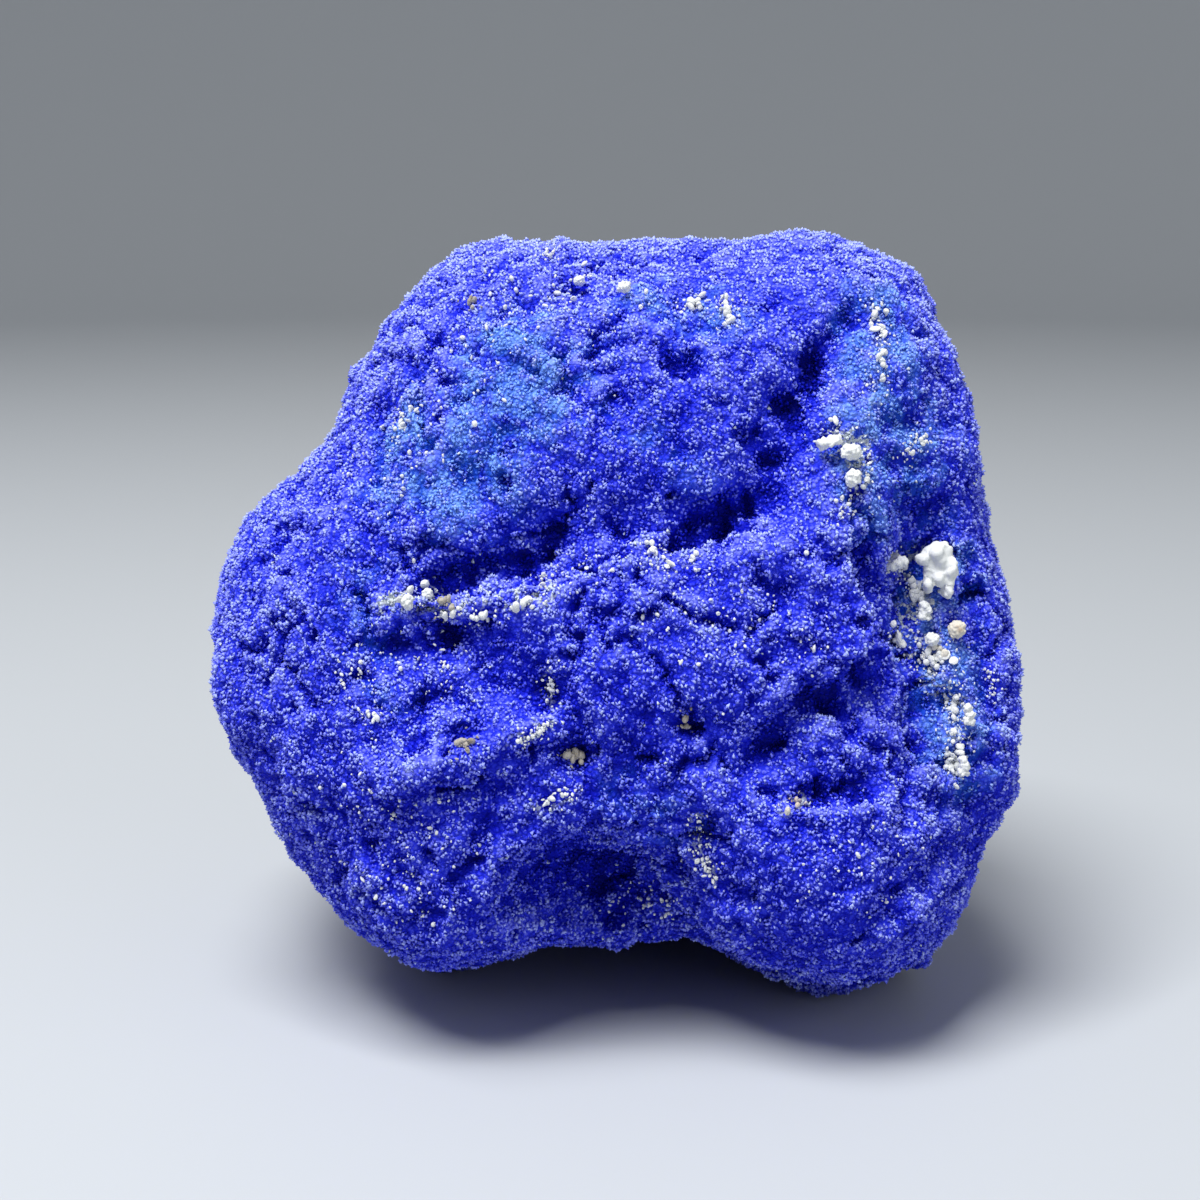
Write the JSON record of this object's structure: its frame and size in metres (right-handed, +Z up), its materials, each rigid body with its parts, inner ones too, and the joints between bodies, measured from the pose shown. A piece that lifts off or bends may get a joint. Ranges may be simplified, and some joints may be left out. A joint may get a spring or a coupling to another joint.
{
  "type": "azurite specimen",
  "caption": "Free-standing lobed azurite nodule with a deep-blue microcrystal crust and white kaolin clay lodged in its pits.",
  "frame": {"origin": "middle of the footprint, on the plane that the nodule rests on", "axes": "+Z up, +X to the right of the front face, +Y from the front face to the back"},
  "size_m": [0.0486, 0.041, 0.0463],
  "materials": {
    "azurite": "dull, velvety crust of tiny crystals with fine glints",
    "kaolin": "matt, chalky white to cream clay"
  },
  "bodies": {
    "root": {"azurite_nodule": "azurite", "kaolin_main_lump": "kaolin", "kaolin_tail_lump": "kaolin", "kaolin_left_lump": "kaolin", "kaolin_cream_bead": "kaolin", "kaolin_low_bead": "kaolin", "kaolin_upper_left_lump": "kaolin", "kaolin_upper_right_lump": "kaolin", "kaolin_upper_low_lump": "kaolin", "kaolin_column_upper_lump": "kaolin", "kaolin_column_lower_lump": "kaolin", "kaolin_crown_left_grain": "kaolin", "kaolin_crown_right_grain": "kaolin", "kaolin_row_left_grain": "kaolin", "kaolin_row_middle_grain": "kaolin"}
  },
  "joints": []
}
